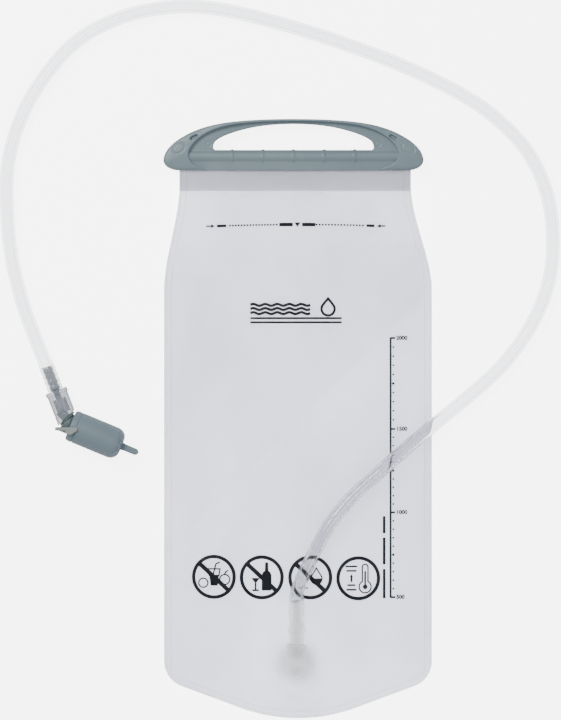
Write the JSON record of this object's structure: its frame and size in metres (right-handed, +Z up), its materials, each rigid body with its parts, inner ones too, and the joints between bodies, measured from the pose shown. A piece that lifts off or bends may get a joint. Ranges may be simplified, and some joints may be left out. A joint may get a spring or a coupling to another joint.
{
  "type": "hydration bladder",
  "caption": "Flat film water bag with a slide-lock top and carrying handle, a long drinking hose from its bottom port and a capped mouthpiece.",
  "frame": {"origin": "on the table under the middle of the bag with its handle, the hose left out", "axes": "+Z up from the table and out of the bag's front, +Y towards the handle, +X to the right seen from the front"},
  "size_m": [0.392, 0.5037, 0.0242],
  "materials": {
    "clear_film": "frosted translucent film",
    "rod_plastic": "satin",
    "slider_plastic": "fine satin, grey-green",
    "port_plastic": "frosted translucent",
    "spigot_plastic": "clear",
    "hose_vinyl": "clear, glossy",
    "body_clear": "clear, glossy",
    "o_ring_rubber": "satin black",
    "elbow_plastic": "satin, grey-green",
    "retainer_silicone": "soft matt",
    "bite_silicone": "soft translucent",
    "cap_plastic": "soft satin, grey-green"
  },
  "bodies": {
    "bladder": {"back_film": "clear_film", "front_film": "clear_film", "closure_rod": "rod_plastic", "outlet_port": "port_plastic", "hose_spigot": "spigot_plastic", "hose": "hose_vinyl", "valve_body": "body_clear"},
    "slide_lock": {"slider": "slider_plastic"},
    "outlet": {"outlet_elbow": "elbow_plastic", "stem_o_ring_inner": "o_ring_rubber", "stem_o_ring_outer": "o_ring_rubber", "cap_retainer": "retainer_silicone", "bite_valve": "bite_silicone"},
    "cap": {"dust_cap": "cap_plastic"}
  },
  "joints": [
    {"name": "closure_slide", "type": "slide", "parent": "bladder", "child": "slide_lock", "axis": [1, 0, 0], "range_m": [0, 0.176], "deforming": ["hose"]},
    {"name": "outlet_twist", "type": "hinge", "parent": "bladder", "child": "outlet", "pos_m": [-0.16181, 0.00142, 0.0116], "axis": [0.6979, -0.7162, 0], "range_deg": [0, 90]},
    {"name": "cap_pull", "type": "slide", "parent": "outlet", "child": "cap", "axis": [0.9233, -0.3841, 0], "range_m": [0, 0.0345]}
  ]
}
